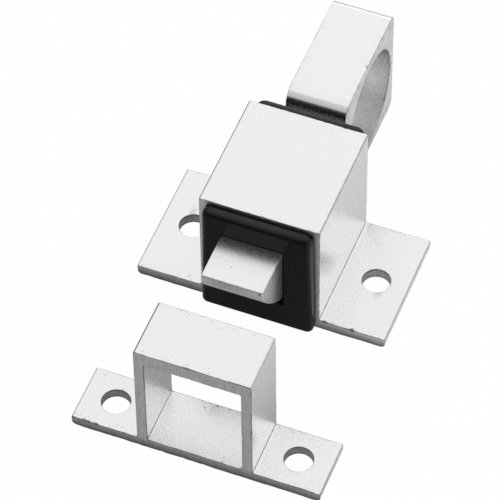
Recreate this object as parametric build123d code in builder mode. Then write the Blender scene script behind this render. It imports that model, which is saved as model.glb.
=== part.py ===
from build123d import *

import os

# Spring door latch with a pull ring, and the keeper that its bolt enters. All sizes are millimetres. The origin is
# midway between the housing's two screw holes, on the face that it is screwed down by. X runs along the flanges,
# the bolt points along -Y, and +Z stands away from the door.

# Housing: a slice of an extruded tube with a flange on each side
housing_depth = 25.5
housing_base_len = 50.0
housing_base_t = 2.4
housing_box_w = 23.8
housing_box_h = 28.2
housing_wall_t = 1.4
housing_hole_pitch = 37.3

# Keeper: a narrower slice of a like section, standing in front of the bolt
keeper_depth = 12.1
keeper_base_len = 48.9
keeper_base_t = 2.25
keeper_box_w = 22.7
keeper_box_h = 28.2
keeper_wall_t = 2.05
keeper_floor_t = 2.4
keeper_roof_t = 3.15
keeper_hole_pitch = 36.1
keeper_gap = 24.9
keeper_x = 1.65

# Both extruded sections
screw_hole_d = 5.5
base_end_r = 0.9
root_r = 0.3
tube_corner_r = 0.5
housing_edge_r = 0.3
keeper_edge_r = 0.45
sawn_edge = 0.15

# Plastic end caps: a plate outside the tube, a little narrower at its top than at its foot, and a plug inside it
cap_plate_t = 2.25
cap_foot_inset = 0.7
cap_head_inset = 1.1
cap_top_inset = 0.7
cap_corner_r = 1.7
cap_edge_r = 0.8
cap_plug_depth = 6.5
cap_plug_clearance = 0.1
cap_plug_chamfer = 0.4
cap_core_wall = 1.2
cap_core_floor = 1.5

# Latch bolt: nose, shaft and pull ring in one sawn slice
bolt_w = 12.1
bolt_h = 15.3
bolt_x = -0.58
bolt_clearance = 0.2
bolt_throw = 10.1
nose_left_out = 0.25
nose_face_h = 2.0
nose_r = 38.0
nose_tip_r = 2.0
nose_top_r = 0.3
nose_run_in = 2.9
ring_gap = 2.9
finger_hole_d = 23.4
ring_front_wall = 1.8
ring_back_wall = 1.4
ring_top_wall = 1.9
ring_bottom_wall = 0.95
ring_lift = 0.15
ring_corner_r = 1.8
ring_root_r = 0.8

# Stop pin and return spring, inside the housing
pin_d = 3.0
pin_fit = 0.03
pin_inset = 3.5
pin_chamfer = 0.3
stop_clearance = 0.2
wire_d = 0.6
spring_d = 6.6
spring_turns = 7.5
wire_side_count = 6
spring_seat_clearance = 0.1
window_side_clearance = 0.3
window_corner_r = 0.8
spare_travel = 1.0

# Worked out from the sizes above
front_y = -housing_depth / 2
back_y = housing_depth / 2
tube_w = housing_box_w - 2 * housing_wall_t
tube_h = housing_box_h - housing_base_t - housing_wall_t
tube_mid_z = housing_base_t + tube_h / 2

bolt_z = tube_mid_z
bolt_top_z = bolt_z + bolt_h / 2
bolt_bottom_z = bolt_z - bolt_h / 2
bolt_travel = bolt_throw - nose_left_out
tip_y = front_y - cap_plate_t - bolt_throw

ring_len = ring_front_wall + finger_hole_d + ring_back_wall
ring_h = ring_bottom_wall + finger_hole_d + ring_top_wall
ring_front_y = back_y + cap_plate_t + ring_gap
ring_mid_y = ring_front_y + ring_len / 2
ring_mid_z = ring_lift + ring_h / 2
flat_above_shaft = ring_lift + ring_h - ring_corner_r - bolt_top_z
flat_below_shaft = bolt_bottom_z - ring_lift - ring_corner_r
finger_hole_y = ring_front_y + ring_front_wall + finger_hole_d / 2
finger_hole_z = ring_lift + ring_bottom_wall + finger_hole_d / 2

pin_y = back_y - pin_inset
spring_closed_len = wire_d * spring_turns + spare_travel
spring_len = spring_closed_len + bolt_travel
spring_back_y = pin_y - pin_d / 2 - spring_seat_clearance
spring_front_y = spring_back_y - spring_len
window_front_y = spring_front_y - spring_seat_clearance
window_back_y = pin_y + pin_d / 2 + stop_clearance
window_len = window_back_y - window_front_y
window_h = spring_d + 2 * window_side_clearance

plug_w = tube_w - 2 * cap_plug_clearance
plug_h = tube_h - 2 * cap_plug_clearance
opening_w = bolt_w + 2 * bolt_clearance
opening_h = bolt_h + 2 * bolt_clearance

keeper_back_y = front_y - keeper_gap


def corner_at(sketch, x, y):
    """The corner of a sketch that lies nearest to a point of its plane."""
    return sketch.vertices().sort_by_distance((x, y, 0))[0]


def flanged_tube(section, base_len, base_t, box_w, box_h, wall_t, floor_t, roof_t, edge_r):
    """Draw a tube standing on its flanges: the lower flange ends are rounded and the upper ones are crisp."""
    with Locations((0, base_t / 2)):
        Rectangle(base_len, base_t)
    with Locations((0, box_h / 2)):
        Rectangle(box_w, box_h)
    for side in (-1, 1):
        fillet(corner_at(section, side * base_len / 2, 0), base_end_r)
        fillet(corner_at(section, side * box_w / 2, base_t), root_r)
        fillet(corner_at(section, side * box_w / 2, box_h), edge_r)
    bore_w = box_w - 2 * wall_t
    bore_h = box_h - floor_t - roof_t
    with Locations((0, floor_t + bore_h / 2)):
        RectangleRounded(bore_w, bore_h, tube_corner_r, mode=Mode.SUBTRACT)


# Housing
with BuildPart() as housing:
    with BuildSketch(Plane.XZ.offset(-back_y)) as housing_section:
        flanged_tube(
            housing_section,
            housing_base_len,
            housing_base_t,
            housing_box_w,
            housing_box_h,
            housing_wall_t,
            housing_base_t,
            housing_wall_t,
            housing_edge_r,
        )
    extrude(amount=housing_depth)
    chamfer(housing.faces().filter_by(Axis.Y).edges(), sawn_edge)
    with GridLocations(housing_hole_pitch, 1, 2, 1):
        Hole(screw_hole_d / 2)

# Keeper
with BuildPart() as keeper:
    with BuildSketch(Plane.XZ.offset(-keeper_back_y).move(Location((keeper_x, 0, 0)))) as keeper_section:
        flanged_tube(
            keeper_section,
            keeper_base_len,
            keeper_base_t,
            keeper_box_w,
            keeper_box_h,
            keeper_wall_t,
            keeper_floor_t,
            keeper_roof_t,
            keeper_edge_r,
        )
    extrude(amount=keeper_depth)
    chamfer(keeper.faces().filter_by(Axis.Y).edges(), sawn_edge)
    with Locations((keeper_x, keeper_back_y - keeper_depth / 2)):
        with GridLocations(keeper_hole_pitch, 1, 2, 1):
            Hole(screw_hole_d / 2)

# Front cap: the plate covers the end of the tube, and the plug is cored out above and below the bolt's opening
with BuildPart() as front_cap:
    cap_foot_x = housing_box_w / 2 - cap_foot_inset
    cap_head_x = housing_box_w / 2 - cap_head_inset
    cap_h = housing_box_h - cap_top_inset
    with BuildSketch(Plane.XZ.offset(-front_y)) as cap_outline:
        with BuildLine():
            Polyline(
                (-cap_foot_x, 0),
                (cap_foot_x, 0),
                (cap_head_x, cap_h),
                (-cap_head_x, cap_h),
                close=True,
            )
        make_face()
        fillet(cap_outline.vertices(), cap_corner_r)
    extrude(amount=cap_plate_t)
    fillet(front_cap.faces().sort_by(Axis.Y)[0].edges(), cap_edge_r)
    with BuildSketch(Plane.XZ.offset(-front_y)):
        with Locations((0, tube_mid_z)):
            RectangleRounded(plug_w, plug_h, tube_corner_r)
    extrude(amount=-cap_plug_depth)
    chamfer(front_cap.faces().sort_by(Axis.Y)[-1].edges(), cap_plug_chamfer)
    with BuildSketch(Plane.XZ.offset(-front_y + cap_plate_t)):
        with Locations((bolt_x, bolt_z)):
            Rectangle(opening_w, opening_h)
    extrude(amount=-(cap_plate_t + cap_plug_depth), mode=Mode.SUBTRACT)
    core_h = (plug_h - opening_h) / 2 - 2 * cap_core_wall
    core_rise = opening_h / 2 + cap_core_wall + core_h / 2
    with BuildSketch(Plane.XZ.offset(-front_y - cap_plug_depth)):
        with Locations((0, bolt_z - core_rise), (0, bolt_z + core_rise)):
            Rectangle(plug_w - 2 * cap_core_wall, core_h)
    extrude(amount=cap_plug_depth - cap_core_floor, mode=Mode.SUBTRACT)

# Rear cap: the front cap's mirror image, with a cross hole for the stop pin
with BuildPart() as rear_cap:
    mirror(front_cap.part, about=Plane.XZ)
    with Locations(Location((0, pin_y, bolt_z), (0, 90, 0))):
        Hole(pin_d / 2 + pin_fit)

# Latch bolt: its outline is drawn from the side and the slice is as thick as the bolt is wide
with BuildPart() as latch_bolt:
    with BuildSketch(Plane.YZ.offset(bolt_x - bolt_w / 2)) as bolt_outline:
        shaft_end_y = ring_front_y + ring_front_wall
        with BuildLine():
            top = Line((shaft_end_y, bolt_top_z), (tip_y, bolt_top_z))
            face = Line(top @ 1, (tip_y, bolt_top_z - nose_face_h))
            nose_end = (front_y - cap_plate_t + nose_run_in, bolt_bottom_z)
            underside = RadiusArc(face @ 1, nose_end, -nose_r)
            bottom = Line(underside @ 1, (shaft_end_y, bolt_bottom_z))
            Line(bottom @ 1, top @ 0)
        make_face()
        fillet(corner_at(bolt_outline, tip_y, bolt_top_z - nose_face_h), nose_tip_r)
        fillet(corner_at(bolt_outline, tip_y, bolt_top_z), nose_top_r)
        with Locations((ring_mid_y, ring_mid_z)):
            RectangleRounded(ring_len, ring_h, ring_corner_r)
        fillet(corner_at(bolt_outline, ring_front_y, bolt_top_z), min(ring_root_r, flat_above_shaft / 2))
        fillet(corner_at(bolt_outline, ring_front_y, bolt_bottom_z), min(ring_root_r, flat_below_shaft / 2))
        with Locations((finger_hole_y, finger_hole_z)):
            Circle(finger_hole_d / 2, mode=Mode.SUBTRACT)
        with Locations((window_front_y + window_len / 2, bolt_z)):
            RectangleRounded(window_len, window_h, window_corner_r, mode=Mode.SUBTRACT)
    extrude(amount=bolt_w)
    chamfer(latch_bolt.faces().filter_by(Axis.X).edges(), sawn_edge)

# Stop pin: as long as the rear cap's plug is wide
with BuildPart() as stop_pin:
    with BuildSketch(Plane.YZ.offset(-plug_w / 2)):
        with Locations((pin_y, bolt_z)):
            Circle(pin_d / 2)
    extrude(amount=plug_w)
    chamfer(stop_pin.edges().filter_by(GeomType.CIRCLE), pin_chamfer)

# Return spring: from the front of the bolt's window to the stop pin, with both ends ground flat. Its round wire is
# drawn with flats, which keeps a coil that nothing shows light.
with BuildPart() as return_spring:
    coil_r = (spring_d - wire_d) / 2
    spring_pitch = (spring_len + wire_d) / spring_turns
    coil_start = (bolt_x, spring_back_y + wire_d / 2, bolt_z)
    with BuildLine() as coil:
        Helix(spring_pitch, spring_len + wire_d, coil_r, center=coil_start, direction=(0, -1, 0))
    with BuildSketch(Plane(coil.line @ 0, z_dir=coil.line % 0)):
        RegularPolygon(wire_d / 2, wire_side_count)
    sweep(is_frenet=True)
    split(bisect_by=Plane.XZ.offset(-spring_back_y), keep=Keep.TOP)
    split(bisect_by=Plane.XZ.offset(-spring_front_y), keep=Keep.BOTTOM)

os.makedirs("parts", exist_ok=True)
housing.part.label = "housing"
keeper.part.label = "keeper"
front_cap.part.label = "front_cap"
rear_cap.part.label = "rear_cap"
latch_bolt.part.label = "latch_bolt"
stop_pin.part.label = "stop_pin"
return_spring.part.label = "return_spring"
export_step(housing.part, "parts/housing.step")
export_step(keeper.part, "parts/keeper.step")
export_step(front_cap.part, "parts/front_cap.step")
export_step(rear_cap.part, "parts/rear_cap.step")
export_step(latch_bolt.part, "parts/latch_bolt.step")
export_step(stop_pin.part, "parts/stop_pin.step")
export_step(return_spring.part, "parts/return_spring.step")
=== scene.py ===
import math

import bpy
import numpy as np
from mathutils import Matrix, Vector
from mathutils.geometry import tessellate_polygon


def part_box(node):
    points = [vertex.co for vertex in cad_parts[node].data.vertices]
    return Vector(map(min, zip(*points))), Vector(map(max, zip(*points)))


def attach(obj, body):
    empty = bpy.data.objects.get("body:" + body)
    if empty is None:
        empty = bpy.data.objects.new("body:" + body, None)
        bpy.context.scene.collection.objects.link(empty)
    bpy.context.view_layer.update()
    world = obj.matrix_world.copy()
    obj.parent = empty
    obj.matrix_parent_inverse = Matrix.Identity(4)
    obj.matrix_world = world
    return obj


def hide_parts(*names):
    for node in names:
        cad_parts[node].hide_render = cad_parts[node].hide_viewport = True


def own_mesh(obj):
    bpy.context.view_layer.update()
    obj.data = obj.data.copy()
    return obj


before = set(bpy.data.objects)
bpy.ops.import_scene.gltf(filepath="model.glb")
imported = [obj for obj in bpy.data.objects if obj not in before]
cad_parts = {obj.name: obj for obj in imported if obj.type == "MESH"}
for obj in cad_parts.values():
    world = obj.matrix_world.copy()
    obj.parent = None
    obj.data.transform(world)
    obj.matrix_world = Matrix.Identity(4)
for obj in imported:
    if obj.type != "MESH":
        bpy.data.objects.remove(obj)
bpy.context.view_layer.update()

mm = 0.001  # sizes below are millimetres, and the meshes are metres
tiny = 1e-9  # what rounding may leave of nothing
print("frame loaded:", sorted(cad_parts))

# Camera: the viewing angle of the photograph, with the image's centre on the aim point
cameraView = {
    "azimuth": 22.063,
    "elevation": 51.482,
    "roll": -0.809,
    "aim": (-4.973, -5.091, 7.039),
    "distance": 701.62,
    "lens": 267.626,
    "sensor": 36.0,
    "clip": (0.05, 20.0),  # metres
}


def makeCamera(view):
    # The camera stands back from the aim point along the direction that azimuth and elevation give. Its right and up
    # start level and square to that, and the roll turns both about it.
    turn, rise, roll = (math.radians(view[name]) for name in ("azimuth", "elevation", "roll"))
    back = Vector((math.sin(turn) * math.cos(rise), -math.cos(turn) * math.cos(rise), math.sin(rise)))
    level = Vector((math.cos(turn), math.sin(turn), 0))
    upright = back.cross(level)
    right = math.cos(roll) * level + math.sin(roll) * upright
    up = math.cos(roll) * upright - math.sin(roll) * level
    data = bpy.data.cameras.new("photoCamera")
    data.sensor_width = view["sensor"]
    data.lens = view["lens"]
    data.clip_start, data.clip_end = view["clip"]
    camera = bpy.data.objects.new("photoCamera", data)
    bpy.context.scene.collection.objects.link(camera)
    place = (Vector(view["aim"]) + view["distance"] * back) * mm
    camera.matrix_world = Matrix.Translation(place) @ Matrix((right, up, back)).transposed().to_4x4()
    bpy.context.scene.camera = camera


makeCamera(cameraView)
print("camera placed")

# Light: a broad softbox above and behind, three weak ones round it, and a dim room
studio = {
    "roomAbove": 0.13,
    "roomHorizon": 0.06,
    "horizonBand": (0.05, 0.65),  # heights of the view direction between which the room brightens
    "floorColour": (0.90, 0.90, 0.90),
    "floorSize": 8.0,
    "floorDrop": 0.03,  # below the base, so that the two faces don't share a plane
    "whiteToCamera": 0.985,
    "whiteToGloss": 0.25,
    "frontToGloss": 0.3,  # painted shadow on the floor in front of the latch, seen only in reflections: the share of its colour left there
    "frontEdge": (-0.005, 0.015),  # where that painted shadow ends, in metres along the next direction
    "frontDirection": (0.9, 0.45, 0.0),
    "softboxes": [
        {"name": "softboxAbove", "from": (0.05, 0.60, 1.08), "width": 2.6, "power": 18.1},
        {"name": "softboxRight", "from": (1.0, 0.35, 0.75), "width": 1.3, "power": 2.0},
        {"name": "softboxBack", "from": (0.0, 1.3, 0.45), "width": 1.0, "power": 1.2},
        {"name": "softboxFront", "from": (-0.30, -0.75, 0.85), "width": 1.2, "power": 2.3},
    ],
}


def addNode(tree, kind, **settings):
    node = tree.nodes.new(kind)
    for name, value in settings.items():
        setattr(node, name, value)
    return node


def setInputs(node, **values):
    for name, value in values.items():
        node.inputs[name.replace("_", " ")].default_value = value
    return node


def maths(tree, operation, *values):
    # One Math node, where each value is a number or a socket that gives one
    node = addNode(tree, "ShaderNodeMath", operation=operation)
    for socket, value in zip(node.inputs, values):
        if isinstance(value, bpy.types.NodeSocket):
            tree.links.new(value, socket)
        else:
            socket.default_value = value
    return node.outputs[0]


def ramp(tree, value, low, high, start=0.3, end=0.7):
    # From low to high as the value goes from start to end, and level outside. Most of a noise lies in 0.3 to 0.7.
    node = addNode(tree, "ShaderNodeMapRange")
    for name, number in (("From Min", start), ("From Max", end), ("To Min", low), ("To Max", high)):
        node.inputs[name].default_value = number
    tree.links.new(value, node.inputs["Value"])
    return node.outputs[0]


def blendColours(tree, share, first, second):
    # Each end is a fixed colour or a socket that gives one
    node = addNode(tree, "ShaderNodeMix", data_type="RGBA")
    colourInputs = [socket for socket in node.inputs if socket.type == "RGBA"]
    for socket, colour in zip(colourInputs, (first, second)):
        if isinstance(colour, bpy.types.NodeSocket):
            tree.links.new(colour, socket)
        else:
            socket.default_value = (*colour, 1)
    tree.links.new(share, node.inputs[0])
    return next(socket for socket in node.outputs if socket.type == "RGBA")


def mixShaders(tree, share, first, second):
    node = addNode(tree, "ShaderNodeMixShader")
    for socket, value in zip(node.inputs, (share, first, second)):
        tree.links.new(value, socket)
    return node.outputs[0]


def makeRoom(light):
    # The room brightens with the height of the view direction, and the camera sees it plain white
    world = bpy.data.worlds.new("studioRoom")
    bpy.context.scene.world = world
    world.use_nodes = True
    tree = world.node_tree
    tree.nodes.clear()
    direction = addNode(tree, "ShaderNodeSeparateXYZ")
    tree.links.new(addNode(tree, "ShaderNodeTexCoord").outputs["Generated"], direction.inputs[0])
    level = ramp(tree, direction.outputs["Z"], light["roomHorizon"], light["roomAbove"], *light["horizonBand"])
    grey = setInputs(addNode(tree, "ShaderNodeBackground"), Color=(1, 1, 1, 1))
    tree.links.new(level, grey.inputs["Strength"])
    white = setInputs(addNode(tree, "ShaderNodeBackground"), Color=(1, 1, 1, 1), Strength=1.0)
    toCamera = addNode(tree, "ShaderNodeLightPath").outputs["Is Camera Ray"]
    room = mixShaders(tree, toCamera, grey.outputs[0], white.outputs[0])
    tree.links.new(room, addNode(tree, "ShaderNodeOutputWorld").inputs[0])


def makeFloor(light):
    # A large square just under the latch, which takes its shadow. Rays see it mixed with plain white: by one share
    # from the camera, and by another in gloss and glass. In gloss it also carries a painted shadow in front of the
    # latch.
    half = light["floorSize"] / 2
    drop = -light["floorDrop"] * mm
    mesh = bpy.data.meshes.new("studioFloor")
    corners = [(-half, -half, drop), (half, -half, drop), (half, half, drop), (-half, half, drop)]
    mesh.from_pydata(corners, [], [(0, 1, 2, 3)])
    floor = bpy.data.objects.new("studioFloor", mesh)
    bpy.context.scene.collection.objects.link(floor)
    material = bpy.data.materials.new("whiteFloor")
    material.use_nodes = True
    tree = material.node_tree
    tree.nodes.clear()
    rays = addNode(tree, "ShaderNodeLightPath").outputs
    clear = maths(tree, "MAXIMUM", rays["Is Glossy Ray"], rays["Is Transmission Ray"])
    gloss = maths(tree, "MULTIPLY", clear, light["whiteToGloss"])
    seen = maths(tree, "MULTIPLY", rays["Is Camera Ray"], light["whiteToCamera"])
    across = addNode(tree, "ShaderNodeVectorMath", operation="DOT_PRODUCT")
    tree.links.new(addNode(tree, "ShaderNodeTexCoord").outputs["Object"], across.inputs[0])
    across.inputs[1].default_value = light["frontDirection"]
    inFront = ramp(tree, across.outputs["Value"], 1.0, 0.0, *light["frontEdge"])
    # painted shadow in front of the latch, seen only in gloss
    paintedFrontShadow = maths(tree, "MULTIPLY", inFront, rays["Is Glossy Ray"])
    dark = [light["frontToGloss"] * level for level in light["floorColour"]]
    matt = addNode(tree, "ShaderNodeBsdfDiffuse")
    tree.links.new(blendColours(tree, paintedFrontShadow, light["floorColour"], dark), matt.inputs[0])
    white = setInputs(addNode(tree, "ShaderNodeEmission"), Color=(1, 1, 1, 1), Strength=1.0)
    shown = mixShaders(tree, maths(tree, "MAXIMUM", gloss, seen), matt.outputs[0], white.outputs[0])
    tree.links.new(shown, addNode(tree, "ShaderNodeOutputMaterial").inputs[0])
    mesh.materials.append(material)


def makeSoftbox(box):
    # A square lamp that faces the middle of the scene
    data = bpy.data.lights.new(box["name"], "AREA")
    data.shape = "SQUARE"
    data.size = box["width"]
    data.energy = box["power"]
    lamp = bpy.data.objects.new(box["name"], data)
    bpy.context.scene.collection.objects.link(lamp)
    lamp.location = box["from"]
    lamp.rotation_mode = "QUATERNION"
    lamp.rotation_quaternion = (-Vector(box["from"])).to_track_quat("-Z", "Y")


makeRoom(studio)
makeFloor(studio)
for softbox in studio["softboxes"]:
    makeSoftbox(softbox)
bpy.context.scene.view_settings.view_transform = "Standard"
print("studio lit")

# Finishes
blastedAluminium = {
    "name": "blastedAluminium",
    "light": (0.872, 0.872, 0.872),
    "dark": (0.860, 0.860, 0.862),
    "blotch": 0.5,
    "roughness": (0.25, 0.31),
    "grain": 0.20,
    "grainDepth": 0.012,
    "edge": (0.42, 0.42, 0.425),  # along tight bends: painted shade in the inward roots, and a darker line along the outward edges
    "edgePatch": 1.1,  # the size of the gaps in that line
    "edgeShare": (0.55, 1.0),  # how strong it is in a gap and outside
    "speck": (0.16, 0.16, 0.165),  # burrs and saw dust close to the cuts
    "speckSize": 0.42,
    "speckBand": (0.61, 0.66),  # a lower band gives more specks
    "speckShare": 0.8,
    "spotCore": 0.3,  # how much of a mark's radius is fully dark
    "spotShare": (0.4, 1.0),
    "spots": [  # single marks: place, radius and strength
        {"at": (11.9, -11.2, 18.2), "radius": 1.1, "share": 0.35},
        {"at": (-2.22, -21.26, 22.25), "radius": 0.28, "share": 0.7},
        {"at": (5.1, 29.9, 26.4), "radius": 0.30, "share": 0.9},
        {"at": (-7.6, -41.5, 7.5), "radius": 0.35, "share": 0.4},
        {"at": (-0.61, -39.20, 2.4), "radius": 0.32, "share": 0.85},
        {"at": (0.87, -38.48, 2.4), "radius": 0.25, "share": 0.8},
        {"at": (1.37, -38.00, 2.4), "radius": 0.55, "share": 0.6},
        {"at": (3.97, -37.97, 2.4), "radius": 0.3, "share": 0.8},
        {"at": (1.53, -39.20, 2.4), "radius": 1.9, "share": 0.2},
        {"at": (-14.75, -11.60, 2.4), "radius": 0.3, "share": 0.6},
    ],
}
cutFinish = {  # what the sawn and drilled finishes have in common
    "rim": (0.16, 0.16, 0.165),  # the darker line along a cut's edge, also the colour of the painted shade at the foot
    "rimPatch": 0.9,
    "rimShare": (0.6, 1.0),
    "paintedFootShade": 0.0,  # how dark the painted shade at the foot is
    "footBand": (0.2, 2.9),  # heights between which that painted shade fades out
    "markBand": 0.14,  # how far below or above the middle height a mark is fully dark or light
    "roughness": (0.30, 0.44),
    "grain": 0.14,
    "grainShare": 0.3,
}
sawnAluminium = {
    **cutFinish,
    "name": "sawnAluminium",
    "light": (0.85, 0.85, 0.85),
    "dark": (0.68, 0.68, 0.685),
    # painted shade at the foot of the sawn fronts, darkest at the base
    "paintedFootShade": 0.95,
    "roughness": (0.34, 0.46),
    "stroke": (0.22, 0.4, 2.6),  # width across, depth and length of one saw mark
    "strokeTurn": (0.0, 0.06, 0.0),
    "cross": (1.6, 0.4, 0.16),
    "crossTurn": (0.0, 0.5, 0.0),
    "crossShare": 0.45,
    "strokeDepth": 0.018,
}
sawnBolt = {
    **cutFinish,
    "name": "sawnBoltSide",
    "light": (0.97, 0.97, 0.97),
    "dark": (0.62, 0.62, 0.625),
    "stroke": (0.4, 2.6, 0.26),
    "strokeTurn": (0.12, 0.0, 0.0),
    "cross": (0.4, 0.24, 1.5),
    "crossTurn": (-0.25, 0.0, 0.0),
    "crossShare": 0.7,
    "strokeDepth": 0.08,
}
drilledAluminiumPaintedShade = {
    **cutFinish,
    "name": "drilledAluminiumPaintedShade",
    # far darker than bare aluminium: painted shade inside the screw holes
    "light": (0.53, 0.53, 0.53),
    "dark": (0.34, 0.34, 0.345),
    "stroke": (2.4, 2.4, 0.14),
    "strokeTurn": (0.0, 0.0, 0.0),
    "cross": (0.5, 0.5, 0.3),
    "crossTurn": (0.0, 0.0, 0.0),
    "crossShare": 0.5,
    "strokeDepth": 0.02,
}
blackPlastic = {
    "name": "mouldedBlackPlastic",
    "colour": (0.0012, 0.0012, 0.0014),
    "paintedEdgeShadeAndHighlight": (0.045, 0.045, 0.047),  # a painted highlight on the ridge round each cap
    "ridgeHighlightPatch": 1.6,
    "ridgeHighlightShare": (0.7, 1.0),
    "roughness": (0.22, 0.30),
    "blotch": 2.4,
    "specular": 0.17,
    "grain": 0.16,
    "grainDepth": 0.002,
}
brightSteel = {
    "name": "drawnSteel",
    "colour": (0.56, 0.56, 0.57),
    "roughness": (0.22, 0.34),
    "blotch": 0.8,
    "grain": 0.10,
    "grainDepth": 0.002,
}


def startMaterial(name):
    # A Principled shader and the Object coordinates that every pattern reads
    material = bpy.data.materials.new(name)
    material.use_nodes = True
    tree = material.node_tree
    tree.nodes.clear()
    shader = addNode(tree, "ShaderNodeBsdfPrincipled")
    tree.links.new(shader.outputs[0], addNode(tree, "ShaderNodeOutputMaterial").inputs[0])
    place = addNode(tree, "ShaderNodeTexCoord")
    return material, tree, shader, place.outputs["Object"]


def noise(tree, place, size, detail=2.0, roughness=0.5):
    # Cloudy noise whose lumps are about size across, in mm
    node = setInputs(addNode(tree, "ShaderNodeTexNoise"), Scale=1 / (size * mm), Detail=detail, Roughness=roughness)
    tree.links.new(place, node.inputs["Vector"])
    return node.outputs["Fac"]


def strokes(tree, place, sizes, turn):
    # The same noise drawn out, so that its lumps measure sizes along the three axes after the turn
    mapping = addNode(tree, "ShaderNodeMapping", vector_type="TEXTURE")
    mapping.inputs["Rotation"].default_value = turn
    mapping.inputs["Scale"].default_value = [size * mm for size in sizes]
    tree.links.new(place, mapping.inputs["Vector"])
    node = setInputs(addNode(tree, "ShaderNodeTexNoise"), Scale=1.0, Detail=2.0, Roughness=0.55)
    tree.links.new(mapping.outputs[0], node.inputs["Vector"])
    return node.outputs["Fac"]


def bump(tree, shader, height, depth):
    node = setInputs(addNode(tree, "ShaderNodeBump"), Strength=1.0, Distance=depth * mm)
    tree.links.new(height, node.inputs["Height"])
    tree.links.new(node.outputs[0], shader.inputs["Normal"])


def surfaceMark(tree, name):
    # A value from 0 to 1 that the piece's mesh carries at each point
    return addNode(tree, "ShaderNodeAttribute", attribute_name=name).outputs["Fac"]


def patchy(tree, value, cloud, shares):
    # The value times a share that follows the noise
    return maths(tree, "MULTIPLY", value, ramp(tree, cloud, *shares))


def addHeights(tree, first, second, share):
    return maths(tree, "MULTIPLY_ADD", second, share, first)


def makeBlasted(finish):
    # Bead blasting: fine round grain in the height, with slow blotches in colour and gloss
    material, tree, shader, place = startMaterial(finish["name"])
    setInputs(shader, Metallic=1.0)
    blotch = noise(tree, place, finish["blotch"], detail=3.0, roughness=0.6)
    body = blendColours(tree, ramp(tree, blotch, 0, 1), finish["light"], finish["dark"])
    # painted shade along the inward bends, and a darker line along the outward ones
    gaps = noise(tree, place, finish["edgePatch"], detail=3.0)
    paintedEdgeShadeAndHighlight = patchy(tree, surfaceMark(tree, "tightBend"), gaps, finish["edgeShare"])
    body = blendColours(tree, paintedEdgeShadeAndHighlight, body, finish["edge"])
    for spot in finish["spots"]:
        away = addNode(tree, "ShaderNodeVectorMath", operation="DISTANCE")
        tree.links.new(place, away.inputs[0])
        away.inputs[1].default_value = Vector(spot["at"]) * mm
        core, reach = finish["spotCore"] * spot["radius"] * mm, spot["radius"] * mm
        near = ramp(tree, away.outputs["Value"], spot["share"], 0.0, core, reach)
        near = patchy(tree, near, noise(tree, place, spot["radius"], detail=3.0), finish["spotShare"])
        body = blendColours(tree, near, body, finish["speck"])
    dust = noise(tree, place, finish["speckSize"], detail=3.0, roughness=0.6)
    specks = ramp(tree, dust, 0.0, finish["speckShare"], *finish["speckBand"])
    specks = maths(tree, "MULTIPLY", surfaceMark(tree, "nearCut"), specks)
    tree.links.new(blendColours(tree, specks, body, finish["speck"]), shader.inputs[0])
    tree.links.new(ramp(tree, blotch, *finish["roughness"]), shader.inputs["Roughness"])
    bump(tree, shader, noise(tree, place, finish["grain"], roughness=0.6), finish["grainDepth"])
    return material


def makeSawn(finish):
    # A saw cut: long shallow marks crossed by shorter ones over a fine grain, darker where they are deep, with painted
    # shade at the foot and a darker line along the rim, painted dark reflection on the bolt's ring
    material, tree, shader, place = startMaterial(finish["name"])
    setInputs(shader, Metallic=1.0)
    first = strokes(tree, place, finish["stroke"], finish["strokeTurn"])
    second = strokes(tree, place, finish["cross"], finish["crossTurn"])
    both = addHeights(tree, first, second, finish["crossShare"])
    middle = 0.5 * (1 + finish["crossShare"])
    band = (middle - finish["markBand"], middle + finish["markBand"])
    body = blendColours(tree, ramp(tree, both, 0, 1, *band), finish["dark"], finish["light"])
    height = addNode(tree, "ShaderNodeSeparateXYZ")
    tree.links.new(place, height.inputs[0])
    # painted shade at the foot, fading out upwards
    foot = ramp(tree, height.outputs["Z"], finish["paintedFootShade"], 0.0, *(level * mm for level in finish["footBand"]))
    body = blendColours(tree, foot, body, finish["rim"])
    # the darker line along each cut's edge, painted dark reflection on the bolt's ring
    gaps = noise(tree, place, finish["rimPatch"], detail=3.0)
    darkRimLine = patchy(tree, surfaceMark(tree, "rim"), gaps, finish["rimShare"])
    tree.links.new(blendColours(tree, darkRimLine, body, finish["rim"]), shader.inputs[0])
    tree.links.new(ramp(tree, both, *reversed(finish["roughness"]), *band), shader.inputs["Roughness"])
    grain = noise(tree, place, finish["grain"])
    bump(tree, shader, addHeights(tree, both, grain, finish["grainShare"]), finish["strokeDepth"])
    return material


def makePlastic(finish):
    # Moulded plastic: a fine grain, slow blotches in the gloss, and a painted highlight along the ridge
    material, tree, shader, place = startMaterial(finish["name"])
    setInputs(shader, Specular_IOR_Level=finish["specular"])
    blotch = noise(tree, place, finish["blotch"], detail=4.0, roughness=0.6)
    # painted highlight along the cap's ridge
    gaps = noise(tree, place, finish["ridgeHighlightPatch"], detail=3.0)
    paintedRidgeHighlight = patchy(tree, surfaceMark(tree, "ridge"), gaps, finish["ridgeHighlightShare"])
    tree.links.new(blendColours(tree, paintedRidgeHighlight, finish["colour"], finish["paintedEdgeShadeAndHighlight"]), shader.inputs[0])
    tree.links.new(ramp(tree, blotch, *finish["roughness"]), shader.inputs["Roughness"])
    bump(tree, shader, noise(tree, place, finish["grain"]), finish["grainDepth"])
    return material


def makeSteel(finish):
    material, tree, shader, place = startMaterial(finish["name"])
    setInputs(shader, Base_Color=(*finish["colour"], 1), Metallic=1.0)
    blotch = noise(tree, place, finish["blotch"], detail=4.0)
    tree.links.new(ramp(tree, blotch, *finish["roughness"]), shader.inputs["Roughness"])
    bump(tree, shader, noise(tree, place, finish["grain"]), finish["grainDepth"])
    return material


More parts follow.
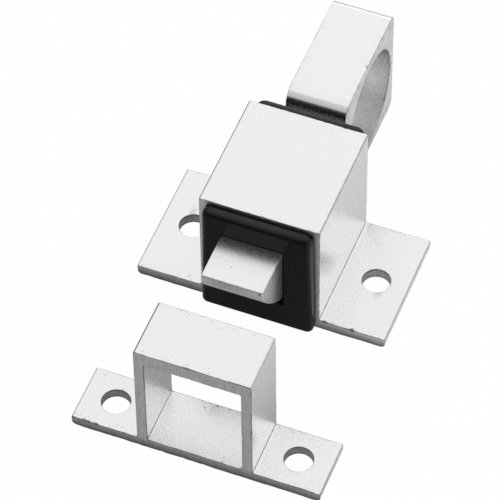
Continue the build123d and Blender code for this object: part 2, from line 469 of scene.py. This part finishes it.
blasted = makeBlasted(blastedAluminium)
sawn = makeSawn(sawnAluminium)
boltSides = makeSawn(sawnBolt)
drilledPaintedShade = makeSawn(drilledAluminiumPaintedShade)
plastic = makePlastic(blackPlastic)
steel = makeSteel(brightSteel)
print("finishes made")

# Shapes: every aluminium piece is a slice of an extruded section, cut off at both ends by a saw
slicing = {
    "samePoint": 1e-6,  # points closer than this are one point
    "bendRange": (1.0, 3.0),  # bends per mm: no dark line up to the first, a full one from the second
    "inwardShare": 0.8,
    "inwardTrim": 3,  # points that an inward bend's line loses at each end
    "fine": {"reach": 3, "share": 0.7},  # the two waves that make a sawn edge ragged
    "coarse": {"reach": 14, "share": 0.5},
    "chip": {"reach": 1.5, "above": 1.1},  # a chip is where a third wave rises above this
    "edgeLimits": (0.35, 2.0),  # least and most of a ragged edge, before its chips and nicks
    "closeRings": (0.5, 1.0, 1.6, 2.4),  # rings between a cut and the evenly spaced ones, from the cut
    "evenRings": 3.4,  # where the evenly spaced rings begin
}


def swing(centre, start, turn, steps):
    # Points on circles: each start turned about its centre by an even share of the turn
    centre, start, turn = np.atleast_2d(centre), np.atleast_2d(start), np.atleast_1d(turn)
    angle = turn[:, None] * np.linspace(0, 1, steps + 1)
    spoke = start - centre
    across = spoke[:, :1] * np.cos(angle) - spoke[:, 1:] * np.sin(angle)
    along = spoke[:, :1] * np.sin(angle) + spoke[:, 1:] * np.cos(angle)
    return np.stack([centre[:, :1] + across, centre[:, 1:] + along], 2)


def cornerArcs(corners, radii, steps=8):
    # Each corner of the closed outline becomes an arc: it begins radius * tan(half the turn) before the corner,
    # and its points are the first spoke turned about the arc's centre in even steps
    corners, radii = np.asarray(corners, float), np.asarray(radii, float)
    arriving = corners - np.roll(corners, 1, 0)
    leaving = np.roll(corners, -1, 0) - corners
    arriving /= np.linalg.norm(arriving, axis=1)[:, None]
    leaving /= np.linalg.norm(leaving, axis=1)[:, None]
    cross = arriving[:, 0] * leaving[:, 1] - arriving[:, 1] * leaving[:, 0]
    turn = np.arctan2(cross, (arriving * leaving).sum(1))
    start = corners - arriving * (radii * np.tan(np.abs(turn) / 2))[:, None]
    inward = np.stack([-arriving[:, 1], arriving[:, 0]], 1) * np.sign(turn)[:, None]
    centre = start + inward * radii[:, None]
    return swing(centre, start, turn, steps)


def closeLoop(points, step):
    # Drops repeated points, then splits each long straight run evenly, with points no further apart than step
    points = points[np.linalg.norm(points - np.roll(points, 1, 0), axis=1) > slicing["samePoint"]]
    run = np.roll(points, -1, 0) - points
    count = np.ceil(np.linalg.norm(run, axis=1) / step).astype(int)
    owner = np.repeat(np.arange(len(points)), count)
    order = np.arange(len(owner)) - np.repeat(np.cumsum(count) - count, count)
    return points[owner] + run[owner] * (order / count[owner])[:, None]


def loopNormals(loop):
    # Square to the line from the point before to the point after, pointing out of the metal
    along = np.roll(loop, -1, 0) - np.roll(loop, 1, 0)
    normal = np.stack([along[:, 1], -along[:, 0]], 1)
    return normal / np.linalg.norm(normal, axis=1)[:, None]


def loopBends(loop):
    # How tightly a loop bends at each point: the turn there over the length that it takes, brought to 0 to 1.
    # Inward bends keep only the middle of their arc, which gives a thin line of painted shade in the root.
    before, after = loop - np.roll(loop, 1, 0), np.roll(loop, -1, 0) - loop
    lengths = np.linalg.norm(before, axis=1) + np.linalg.norm(after, axis=1)
    turn = np.arctan2(before[:, 0] * after[:, 1] - before[:, 1] * after[:, 0], (before * after).sum(1))
    low, high = slicing["bendRange"]
    outward, inward = (np.clip((2 * sign * turn / lengths - low) / (high - low), 0, 1) for sign in (1, -1))
    trim = slicing["inwardTrim"]
    inward = np.min([np.roll(inward, shift) for shift in range(-trim, trim + 1)], axis=0)
    return outward + slicing["inwardShare"] * inward


def smoothNoise(count, reach, rng):
    # White noise round a loop, blurred by a bell curve about reach points wide and brought to unit spread
    wave = np.fft.rfft(rng.standard_normal(count))
    wave *= np.exp(-((np.arange(len(wave)) * reach * 2 / count) ** 2) * 2)
    wave[0] = 0
    line = np.fft.irfft(wave, count)
    return line / line.std()


def edgeRadius(loop, cut, end, rng):
    # The sawn edge's radius round the loop: a base with fine and coarse raggedness, swollen at each chip and nick
    count = len(loop)
    fine, coarse, chip = slicing["fine"], slicing["coarse"], slicing["chip"]
    ragged = fine["share"] * smoothNoise(count, fine["reach"], rng)
    ragged = ragged + coarse["share"] * smoothNoise(count, coarse["reach"], rng)
    chips = cut["chips"] * np.maximum(smoothNoise(count, chip["reach"], rng) - chip["above"], 0)
    least, most = (cut["edge"] * share for share in slicing["edgeLimits"])
    radius = np.clip(cut["edge"] + cut["ragged"] * ragged, least, most) + chips
    for nick in cut["nicks"]:
        if nick["end"] == end:
            away = np.linalg.norm(loop - nick["at"], axis=1)
            radius = radius + nick["deep"] * np.exp(-((away / nick["wide"]) ** 2))
    return radius


def ringQuads(ringCount, count, closed=False):
    # One quad between each pair of neighbours on a ring and the next ring. closed joins the last ring to the first.
    ring, step = np.meshgrid(np.arange(ringCount if closed else ringCount - 1), np.arange(count), indexing="ij")
    onward, after = (ring + 1) % ringCount, (step + 1) % count
    return np.stack([ring * count + step, ring * count + after, onward * count + after, onward * count + step], 2)


def endFans(ringCount, count):
    # Triangles that close the first and the last ring, each round a middle point that comes after all the rings
    step = np.arange(count)
    after, top, middle = (step + 1) % count, (ringCount - 1) * count, np.full(count, ringCount * count)
    return np.concatenate([np.stack([after, step, middle], 1), np.stack([top + step, top + after, middle + 1], 1)])


def fillEnd(loops, upward):
    # Triangles between an end's outer loop and its openings, all turned the given way. Each loop comes with the
    # number of its first point.
    flat = np.concatenate([loop for _, loop in loops])
    index = np.concatenate([start + np.arange(len(loop)) for start, loop in loops])
    made = np.array(tessellate_polygon([np.pad(loop, ((0, 0), (0, 1))).tolist() for _, loop in loops]))
    a, b, c = (flat[made[:, corner]] for corner in range(3))
    wrong = ((b - a)[:, 0] * (c - a)[:, 1] - (b - a)[:, 1] * (c - a)[:, 0] > 0) != upward
    made[wrong] = made[wrong][:, ::-1]
    return index[made]


def buildMesh(name, points, quads, materials, triangles=(), kinds=0, smooth=True, marks=()):
    # kinds is each face's place in the materials, and marks are pairs of a name and a value at each point
    quads, triangles = np.reshape(quads, (-1, 4)), np.reshape(triangles, (-1, 3))
    corners = np.concatenate([quads.ravel(), triangles.ravel()])
    sizes = np.concatenate([np.full(len(quads), 4), np.full(len(triangles), 3)])
    mesh = bpy.data.meshes.new(name)
    mesh.vertices.add(len(points))
    mesh.vertices.foreach_set("co", (points * mm).astype(np.float32).ravel())
    mesh.loops.add(len(corners))
    mesh.loops.foreach_set("vertex_index", corners.astype(np.int32))
    mesh.polygons.add(len(sizes))
    mesh.polygons.foreach_set("loop_start", (np.cumsum(sizes) - sizes).astype(np.int32))
    for material in materials:
        mesh.materials.append(material)
    mesh.polygons.foreach_set("material_index", np.broadcast_to(kinds, len(sizes)).astype(np.int32))
    mesh.polygons.foreach_set("use_smooth", np.broadcast_to(smooth, len(sizes)).astype(bool))
    for mark, values in marks:
        mesh.attributes.new(mark, "FLOAT", "POINT").data.foreach_set("value", values.astype(np.float32))
    mesh.update(calc_edges=True)
    mesh.validate()
    piece = bpy.data.objects.new(name, mesh)
    bpy.context.scene.collection.objects.link(piece)
    return piece


def slicedSection(name, loops, low, high, axes, cut, materials):
    # A section carried along its third axis. Rings run from the low cut to the high cut. Near a cut they turn a
    # quarter circle into the end face, and the end faces are filled between the outer loop and the openings.
    rng = np.random.default_rng(cut["seed"])
    edgeSteps = cut["edgeSteps"]
    turn = np.linspace(0, math.pi / 2, edgeSteps + 1)
    rise, inset = 1 - np.sin(turn), 1 - np.cos(turn)
    close, even = np.array(slicing["closeRings"]), slicing["evenRings"]
    depth = high - low
    stations = np.concatenate([close, np.linspace(even, depth - even, cut["stations"]), depth - close[::-1]])
    rimLine = np.concatenate([[0], np.sin(math.pi * np.arange(1, edgeSteps) / edgeSteps), [0]])
    points, quads, kinds, smooth, bends, cuts, rims = [], [], [], [], [], [], []
    ends = ([], [])
    start = 0
    for loop in loops:
        count = len(loop)
        normal = loopNormals(loop)
        lowRadius, highRadius = (edgeRadius(loop, cut, end, rng) for end in ("low", "high"))
        middle = (low + stations)[:, None] * np.ones(count)
        along = np.concatenate([low + rise[::-1, None] * lowRadius, middle, high - rise[:, None] * highRadius])
        insets = np.concatenate([inset[::-1, None] * lowRadius, middle * 0, inset[:, None] * highRadius])
        flat = loop[None] - normal[None] * insets[:, :, None]
        points.append(np.concatenate([flat, along[:, :, None]], 2).reshape(-1, 3))
        ringCount = len(along)
        bends.append(np.tile(loopBends(loop), ringCount))
        fromCut = np.minimum(along - low, high - along).clip(0)
        cuts.append(np.exp(-fromCut / cut["speckReach"]).ravel())
        rim = np.concatenate([rimLine, np.zeros(ringCount - 2 * len(rimLine)), rimLine])
        rims.append(np.outer(rim, np.interp(loop[:, 0], *cut["rimShade"])).ravel())
        quads.append(ringQuads(ringCount, count).reshape(-1, 4) + start)
        ring = np.arange(ringCount - 1)[:, None]
        edgeRing = (ring < edgeSteps) | (ring >= ringCount - 1 - edgeSteps)
        bend = np.abs((normal * np.roll(normal, -1, 0)).sum(1)) < 1 - tiny
        kinds.append(np.repeat(edgeRing, count).astype(int))
        smooth.append((edgeRing | bend[None]).ravel())
        for end, number in zip(ends, (0, ringCount - 1)):
            end.append((start + number * count, flat[number]))
        start += ringCount * count
    triangles = np.concatenate([fillEnd(end, upward) for end, upward in zip(ends, (False, True))])
    kinds = np.concatenate(kinds + [np.ones(len(triangles), int)])
    smooth = np.concatenate(smooth + [np.zeros(len(triangles), bool)])
    points = np.concatenate(points) @ np.asarray(axes, float)
    # tightBend carries the painted shade in inward roots and the darker line on outward bends, rim the line along each
    # cut's edge
    marks = {"tightBend": bends, "nearCut": cuts, "rim": rims}
    marks = [(mark, np.concatenate(values)) for mark, values in marks.items()]
    return buildMesh(name, points, np.concatenate(quads), materials, triangles, kinds, smooth, marks)


def turnedCutter(name, rings, place, material, axes=((1, 0, 0), (0, 1, 0), (0, 0, 1)), steps=96):
    # A round cutter: rings of (radius, height) spun about the third axis, closed by a point at each end
    radius, height = np.array(rings, float).T
    angle = np.linspace(0, 2 * math.pi, steps, endpoint=False)
    around = np.stack([np.cos(angle), np.sin(angle)], 1)
    circles = np.concatenate([radius[:, None, None] * around[None], np.tile(height[:, None, None], (1, steps, 1))], 2)
    points = np.concatenate([circles.reshape(-1, 3), [[0, 0, height[0]], [0, 0, height[-1]]]])
    points = points @ np.asarray(axes, float) + place
    return buildMesh(name, points, ringQuads(len(rings), steps), [material], endFans(len(rings), steps))


def blockCutter(lowest, highest, material):
    # The eight corners of a box, counted with the last axis fastest
    corners = np.stack(np.meshgrid(*zip(lowest, highest), indexing="ij"), 3).reshape(-1, 3)
    quads = [(0, 1, 3, 2), (4, 6, 7, 5), (0, 4, 5, 1), (2, 3, 7, 6), (0, 2, 6, 4), (1, 5, 7, 3)]
    return buildMesh("blockCutter", corners, quads, [material], smooth=False)


def cutAway(piece, cutter):
    # The boolean difference, applied, with the cutter's own finish on the new faces
    modifier = piece.modifiers.new("drill", "BOOLEAN")
    modifier.operation = "DIFFERENCE"
    modifier.solver = "EXACT"
    modifier.material_mode = "TRANSFER"
    modifier.object = cutter
    finished = bpy.data.meshes.new_from_object(piece.evaluated_get(bpy.context.evaluated_depsgraph_get()))
    piece.modifiers.clear()
    old, piece.data = piece.data, finished
    bpy.data.meshes.remove(old)
    bpy.data.meshes.remove(cutter.data)
    finished.name = piece.name


# Housing and keeper: an upright tube on flanges, with one screw hole in each flange
housingPiece = {
    "name": "housing_skin",
    "node": "housing",
    "baseThickness": 2.4,
    "boxWidth": 23.8,
    "wall": 1.4,
    "tubeFloor": 2.4,
    "tubeRoof": 1.4,
    "screwPitch": 37.3,
    "outsideCorner": 0.3,
    "insideCorner": 0.5,
    "cut": {
        "seed": 4,
        "edge": 0.13,
        "ragged": 0.04,
        "chips": 0.08,
        "edgeSteps": 4,
        "stations": 6,
        "speckReach": 0.9,
        "rimShade": ((11, 11.6), (0.5, 1.0)),  # how dark the line along the cut's edge is, by the place along the first axis
        "nicks": [
            {"end": "high", "at": (18.4, 2.4), "deep": 0.38, "wide": 0.35},
            {"end": "high", "at": (12.9, 2.6), "deep": 0.40, "wide": 0.5},
            {"end": "high", "at": (0.7, 28.2), "deep": 0.22, "wide": 0.35},
            {"end": "high", "at": (9.9, 28.2), "deep": 0.22, "wide": 0.4},
            {"end": "high", "at": (11.7, 27.6), "deep": 0.3, "wide": 0.5},
        ] + [
            {"end": "high", "at": (11.9, height), "deep": deep, "wide": wide}
            for height, deep, wide in (  # down the right edge of the front
                (25.6, 0.2, 0.5), (23.4, 0.12, 0.7), (21.2, 0.22, 0.4), (18.9, 0.1, 0.8), (16.3, 0.2, 0.5),
                (13.9, 0.16, 0.6), (11.2, 0.22, 0.5), (8.8, 0.12, 0.7), (6.9, 0.2, 0.4), (4.6, 0.14, 0.6))
        ],
    },
}
keeperPiece = {
    "name": "keeper_skin",
    "node": "keeper",
    "baseThickness": 2.25,
    "boxWidth": 22.7,
    "wall": 2.05,
    "tubeFloor": 2.4,
    "tubeRoof": 3.15,
    "screwPitch": 36.1,
    "outsideCorner": 0.45,
    "insideCorner": 0.3,
    "cut": {
        "seed": 9,
        "edge": 0.16,
        "ragged": 0.05,
        "chips": 0.16,
        "edgeSteps": 4,
        "stations": 4,
        "speckReach": 1.3,
        "rimShade": ((0, 1), (1.0, 1.0)),
        "nicks": [
            {"end": "high", "at": (-20.3, 2.25), "deep": 0.30, "wide": 0.4},
            {"end": "high", "at": (-19.4, 2.25), "deep": 0.25, "wide": 0.25},
            {"end": "high", "at": (-17.9, 2.25), "deep": 0.32, "wide": 0.4},
            {"end": "high", "at": (0.8, 28.2), "deep": 0.18, "wide": 0.5},
        ],
    },
}
sectionCorners = {
    "flangeUnderside": 0.9,
    "flangeTop": 0.22,
    "root": 0.3,
    "pointSpacing": 0.3,
}
screwHole = {"radius": 2.75, "lip": 0.09, "past": 1.0}  # past is how far the drill stands out at both ends


def makeFlangedTube(size, corner, hole):
    # The outer loop runs round the flanges and the tube, the inner one is the bore, and both are sliced together.
    # Each drill is wider at the flange's faces, which leaves the hole a lip.
    lowest, highest = (np.array(point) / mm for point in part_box(size["node"]))
    middle = (lowest[0] + highest[0]) / 2
    halfBase = (highest[0] - lowest[0]) / 2
    height = highest[2]
    halfBox = size["boxWidth"] / 2
    halfBore = halfBox - size["wall"]
    base = size["baseThickness"]
    outerCorners = [(-halfBase, 0), (halfBase, 0), (halfBase, base), (halfBox, base), (halfBox, height),
                    (-halfBox, height), (-halfBox, base), (-halfBase, base)]
    rightRadii = [corner["flangeTop"], corner["root"], size["outsideCorner"]]
    outerRadii = [corner["flangeUnderside"]] * 2 + rightRadii + rightRadii[::-1]
    floor, roof = size["tubeFloor"], height - size["tubeRoof"]
    boreCorners = [(-halfBore, floor), (-halfBore, roof), (halfBore, roof), (halfBore, floor)]
    outlines = [cornerArcs(outerCorners, outerRadii), cornerArcs(boreCorners, [size["insideCorner"]] * 4)]
    loops = [closeLoop(outline.reshape(-1, 2), corner["pointSpacing"]) + (middle, 0) for outline in outlines]
    axes = [(1, 0, 0), (0, 0, 1), (0, -1, 0)]  # across, up, and towards the front
    piece = slicedSection(size["name"], loops, -highest[1], -lowest[1], axes, size["cut"], [blasted, sawn])
    depthMiddle = (lowest[1] + highest[1]) / 2
    radius, lip, past = hole["radius"], hole["lip"], hole["past"]
    rings = [(radius + lip + past, -past), (radius + lip, 0), (radius, lip), (radius, base - lip), (radius + lip, base),
             (radius + lip + past, base + past)]
    for side in (-1, 1):
        place = (middle + side * size["screwPitch"] / 2, depthMiddle, 0)
        cutAway(piece, turnedCutter("screwDrill", rings, place, drilledPaintedShade))
    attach(piece, "housing")
    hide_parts(size["node"])
    return piece


housingSkin = makeFlangedTube(housingPiece, sectionCorners, screwHole)
keeperSkin = makeFlangedTube(keeperPiece, sectionCorners, screwHole)
print("housing and keeper sliced:", len(housingSkin.data.polygons), len(keeperSkin.data.polygons), "faces")

# Latch bolt: nose, shaft and pull ring in one slice, seen from the side in the plane of Y and Z
boltPiece = {
    "name": "latch_bolt_skin",
    "node": "latch_bolt",
    "shaftHeight": 15.3,
    "shaftMiddle": 14.6,
    "noseFace": 2.0,
    "noseRadius": 38.0,
    "noseTip": 2.0,
    "noseTop": 0.3,
    "noseEnd": -12.1,
    "noseSteps": (12, 40),  # along the tip's arc and along the underside's
    "ringLength": 26.6,
    "ringCorner": 1.8,
    "ringFrontCorner": 3.0,  # the upper front corner, where the photograph fades slowly from bright to black
    "ringRoot": 0.8,
    "frontWall": 1.8,
    "bottomWall": 0.95,
    "fingerHole": 23.4,
    "fingerHoleSteps": 160,
    "window": (-7.8, 10.95),
    "windowHeight": 7.2,
    "windowCorner": 0.8,
    "pointSpacing": 0.3,
    "cut": {
        "seed": 21,
        "edge": 0.10,
        "ragged": 0.03,
        "chips": 0.05,
        "edgeSteps": 4,
        "stations": 4,
        "speckReach": 0.7,
        # painted dark reflection along the ring's cut edges, none along the nose
        "rimShade": ((0, 18), (0.0, 0.8)),
        "nicks": [
            {"end": "high", "at": (-25.1, 21.7), "deep": 0.7, "wide": 0.5},
            {"end": "high", "at": (29.9, 26.4), "deep": 0.35, "wide": 0.3},
        ],
    },
}


def noseOutline(size, tip, top, bottom):
    # The underside is one large arc from the foot of the nose's face to the shaft. A small arc, tangent to the face
    # and lying inside the large one, rounds the tip: the two centres are the difference of the radii apart.
    large, small = size["noseRadius"], size["noseTip"]
    start, end = np.array([tip, top - size["noseFace"]]), np.array([size["noseEnd"], bottom])
    chord = end - start
    half = np.linalg.norm(chord) / 2
    square = np.array([-chord[1], chord[0]]) / (2 * half)
    centre = (start + end) / 2 + square * math.sqrt(large ** 2 - half ** 2)
    tipAcross = tip + small
    tipCentre = np.array([tipAcross, centre[1] - math.sqrt((large - small) ** 2 - (tipAcross - centre[0]) ** 2)])
    direction = (tipCentre - centre) / (large - small)
    meet = centre + direction * large
    tipTurn = math.atan2(direction[1], direction[0]) % (2 * math.pi) - math.pi
    spoke = (end - centre) / large
    longTurn = math.atan2(spoke[1], spoke[0]) % (2 * math.pi) - math.pi - tipTurn
    tipSteps, longSteps = size["noseSteps"]
    tipArc = swing(tipCentre, (tip, tipCentre[1]), tipTurn, tipSteps)[0]
    longArc = swing(centre, meet, longTurn, longSteps)[0]
    return np.concatenate([tipArc, longArc])


def makeLatchBolt(size):
    # Three loops sliced together: the outline, the round finger hole and the window for the spring
    lowest, highest = (np.array(point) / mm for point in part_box(size["node"]))
    tip, ringBack = lowest[1], highest[1]
    ringLow, ringHigh = lowest[2], highest[2]
    top, bottom = size["shaftMiddle"] + size["shaftHeight"] / 2, size["shaftMiddle"] - size["shaftHeight"] / 2
    ringFront = ringBack - size["ringLength"]
    corners = [(tip, top), (tip, bottom), (ringFront, bottom), (ringFront, ringLow), (ringBack, ringLow),
               (ringBack, ringHigh), (ringFront, ringHigh), (ringFront, top)]
    radii = [size["noseTop"], size["noseTip"], size["ringRoot"]] + [size["ringCorner"]] * 3 + \
        [size["ringFrontCorner"], size["ringRoot"]]
    arcs = cornerArcs(corners, radii)
    outer = np.concatenate([arcs[0], noseOutline(size, tip, top, bottom), arcs[2:].reshape(-1, 2)])
    holeRadius = size["fingerHole"] / 2
    holeMiddle = np.array([ringFront + size["frontWall"] + holeRadius, ringLow + size["bottomWall"] + holeRadius])
    finger = swing(holeMiddle, holeMiddle + (holeRadius, 0), -2 * math.pi, size["fingerHoleSteps"])[0][:-1]
    front, back = size["window"]
    low, high = size["shaftMiddle"] - size["windowHeight"] / 2, size["shaftMiddle"] + size["windowHeight"] / 2
    window = cornerArcs([(front, low), (front, high), (back, high), (back, low)], [size["windowCorner"]] * 4)
    loops = [closeLoop(loop.reshape(-1, 2), size["pointSpacing"]) for loop in (outer, finger, window)]
    axes = [(0, 1, 0), (0, 0, 1), (1, 0, 0)]  # back, up, and to the right
    piece = slicedSection(size["name"], loops, lowest[0], highest[0], axes, size["cut"], [blasted, boltSides])
    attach(piece, "bolt")
    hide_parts(size["node"])
    return piece


latchBoltSkin = makeLatchBolt(boltPiece)
print("latch bolt sliced:", len(latchBoltSkin.data.polygons), "faces")

# End caps: a plate outside the tube and a cored plug inside it. The plate's rim stands highest partway along its
# thickness and falls away to both sides, so a groove runs between the cap and the housing.
frontCapPiece = {
    "name": "front_cap_skin",
    "node": "front_cap",
    "towards": -1,
    "plate": 2.25,
    "height": 27.5,
    "footHalf": 11.2,
    "headHalf": 10.8,
    "footCorner": 1.1,
    "headCorner": 1.7,
    "cornerShrink": 0.5,  # how much of a ring's inset its corners lose
    "leastCorner": 0.3,
    "frontRound": (1.3, 1.2),  # along the thickness, and inwards on the face
    "frontSteps": 10,
    "backRound": (0.85, 0.55),
    "backSteps": 6,
    "plugSize": (20.8, 24.2),
    "plugMiddle": 14.6,
    "plugCorner": 0.5,
    "plugDepth": 6.5,
    "plugChamfer": 0.4,
    "opening": (-6.83, 5.67, 6.75, 22.45),
    "openingCorner": 0.1,
    "lip": 0.06,
    "lipSteps": 4,
    "coreWall": 1.2,
    "coreFloor": 1.5,
    "corePast": 1.0,  # how far the core's cutter stands out of the plug
    "ridgeHighlight": (1.0, 0.3, 0.15, 0.12),  # how strong the painted highlight on the ridge is at the top, left, foot and right
    "highlightReach": (0.42, 0.5),  # where that painted highlight fades: mm inwards on the face, and radians round the back
    "pinHole": None,
}
rearCapPiece = {**frontCapPiece, "name": "rear_cap_skin", "node": "rear_cap", "towards": 1, "pinHole": (9.25, 1.53)}


def evenLoop(corners, radii, straight=10):
    # A rounded outline with the same count of points whatever its size: arcs of eight steps, even runs between them
    arcs = cornerArcs(corners, radii)
    share = np.linspace(0, 1, straight + 2)[1:-1, None]
    runs = arcs[:, -1][:, None] + (np.roll(arcs[:, 0], -1, 0) - arcs[:, -1])[:, None] * share[None]
    return np.concatenate([arcs, runs], 1).reshape(-1, 2)


def makeCap(size):
    # Rings of one count of points each, from the plug's end out through the opening, over the face and the rim,
    # and back along the plug. Each ring is an outline at one depth behind the plate's face.
    total = size["plate"] + size["plugDepth"]
    left, right, low, high = size["opening"]
    lip = size["lip"]
    rings = []

    def addRing(corners, radii, depth, ridgeHighlight=0):
        rings.append((evenLoop(corners, radii), depth, ridgeHighlight))

    def addOpening(grow, depth):
        corners = [(left - grow, low - grow), (right + grow, low - grow), (right + grow, high + grow),
                   (left - grow, high + grow)]
        addRing(corners, [size["openingCorner"] + grow] * 4, depth)

    def addPlate(inset, depth, ridgeHighlight):
        foot, head = size["footHalf"] - inset, size["headHalf"] - inset
        corners = [(-foot, inset), (foot, inset), (head, size["height"] - inset), (-head, size["height"] - inset)]
        shrink = size["cornerShrink"] * inset
        radii = [max(size[name] - shrink, size["leastCorner"]) for name in ("footCorner",) * 2 + ("headCorner",) * 2]
        addRing(corners, radii, depth, ridgeHighlight)

    def addPlug(inset, depth):
        half, rise = size["plugSize"][0] / 2 - inset, size["plugSize"][1] / 2 - inset
        middle = size["plugMiddle"]
        corners = [(-half, middle - rise), (half, middle - rise), (half, middle + rise), (-half, middle + rise)]
        addRing(corners, [size["plugCorner"]] * 4, depth)

    addOpening(0, total)
    for angle in np.linspace(0, math.pi / 2, size["lipSteps"] + 1):
        addOpening(lip * (1 - math.cos(angle)), lip * (1 - math.sin(angle)))
    faceReach, backReach = size["highlightReach"]
    deep, across = size["frontRound"]
    for angle in np.linspace(0, math.pi / 2, size["frontSteps"] + 1):
        inwards = across * (1 - math.sin(angle))
        addPlate(inwards, deep * (1 - math.cos(angle)), math.exp(-((inwards / faceReach) ** 2)))
    deep, across = size["backRound"]
    start = size["plate"] - deep
    for angle in np.linspace(0, math.pi / 2, size["backSteps"] + 1):
        ridgeHighlight = math.exp(-((angle / backReach) ** 2))
        addPlate(across * (1 - math.cos(angle)), start + deep * math.sin(angle), ridgeHighlight)
    addPlug(0, size["plate"])
    addPlug(0, total - size["plugChamfer"])
    addPlug(size["plugChamfer"], total)

    loops, depths, ridgeHighlights = (np.array(values) for values in zip(*rings))
    count = loops.shape[1]
    lowest, highest = (np.array(point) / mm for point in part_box(size["node"]))
    face = lowest[1] if size["towards"] < 0 else highest[1]
    along = np.tile((face - size["towards"] * depths)[:, None], (1, count))
    points = np.stack([loops[:, :, 0], along, loops[:, :, 1]], 2).reshape(-1, 3)
    centre = loops.mean(1, keepdims=True)
    angle = np.arctan2(loops[:, :, 1] - centre[:, :, 1], loops[:, :, 0] - centre[:, :, 0])
    sides = np.stack([np.sin(angle), -np.cos(angle), -np.sin(angle), np.cos(angle)], 2).clip(0) ** 2
    # the painted highlight on the ridge, strongest at the top
    ridgeHighlight = (sides @ np.array(size["ridgeHighlight"])) * ridgeHighlights[:, None]
    quads = ringQuads(len(rings), count, closed=True)
    if size["towards"] > 0:
        quads = quads[:, :, ::-1]
    sloping = np.abs(np.roll(depths, -1) - depths) >= tiny
    piece = buildMesh(size["name"], points, quads, [plastic], smooth=np.repeat(sloping, count),
                      marks=[("ridge", ridgeHighlight.ravel())])

    wall = size["coreWall"]
    halfCore = size["plugSize"][0] / 2 - wall
    plugLow, plugHigh = (size["plugMiddle"] + side * size["plugSize"][1] / 2 for side in (-1, 1))
    coreDepths = (size["plate"] + size["coreFloor"], total + size["corePast"])
    front, back = sorted(face - size["towards"] * depth for depth in coreDepths)
    for bottom, top in ((plugLow + wall, low - wall), (high + wall, plugHigh - wall)):
        cutAway(piece, blockCutter((-halfCore, front, bottom), (halfCore, back, top), plastic))
    if size["pinHole"]:
        at, radius = size["pinHole"]
        reach = size["plugSize"][0]
        axes = [(0, 1, 0), (0, 0, 1), (1, 0, 0)]  # the drill goes across
        rings = [(radius, -reach), (radius, reach)]
        cutAway(piece, turnedCutter("pinDrill", rings, (0, at, size["plugMiddle"]), plastic, axes))
    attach(piece, "housing")
    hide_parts(size["node"])
    return piece


frontCap, rearCap = makeCap(frontCapPiece), makeCap(rearCapPiece)
print("caps moulded:", len(frontCap.data.polygons), len(rearCap.data.polygons), "faces")

# Return spring: it lies between the window's front end and the stop pin. In the latch it shortens as the bolt is drawn
# back; here it is wound at the length of the part's box.
springPiece = {
    "name": "return_spring_skin",
    "node": "return_spring",
    "wire": 0.6,
    "turns": 7.2,
    "closed": 5.5,
    "stepsPerTurn": 40,
    "stepsRound": 14,
}


def makeSpring(size):
    # A circle carried along a helix: each ring spans the way out from the axis and the way square to it and the wire.
    # What passes either end plane is pressed onto it, as a ground end is flat.
    lowest, highest = (np.array(point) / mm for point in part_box(size["node"]))
    middle = (lowest + highest) / 2
    radius = (highest[2] - lowest[2] - size["wire"]) / 2
    length = highest[1] - lowest[1]
    ringCount = int(size["turns"] * size["stepsPerTurn"]) + 1
    angle = np.linspace(0, 2 * math.pi * size["turns"], ringCount)
    pitch = length / angle[-1]
    zero = np.zeros(ringCount)
    outward = np.stack([np.cos(angle), zero, np.sin(angle)], 1)
    line = middle * (1, 0, 1) + outward * radius + np.stack([zero, highest[1] - pitch * angle, zero], 1)
    along = np.stack([-radius * np.sin(angle), zero - pitch, radius * np.cos(angle)], 1)
    along /= np.linalg.norm(along, axis=1)[:, None]
    across = np.cross(along, outward)
    around = np.linspace(0, 2 * math.pi, size["stepsRound"], endpoint=False)[:, None]
    spokes = np.cos(around) * outward[:, None] + np.sin(around) * across[:, None]
    points = np.concatenate([(line[:, None] + size["wire"] / 2 * spokes).reshape(-1, 3), line[[0, -1]]])
    points[:, 1] = points[:, 1].clip(lowest[1], highest[1])
    quads, fans = ringQuads(ringCount, size["stepsRound"]), endFans(ringCount, size["stepsRound"])
    piece = buildMesh(size["name"], points, quads, [steel], fans)
    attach(piece, "housing")
    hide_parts(size["node"])
    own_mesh(piece)
    return piece


spring = makeSpring(springPiece)
print("return spring wound:", len(spring.data.polygons), "faces")

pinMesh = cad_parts["stop_pin"].data
pinMesh.materials.clear()
pinMesh.materials.append(steel)
print("stop pin dressed")
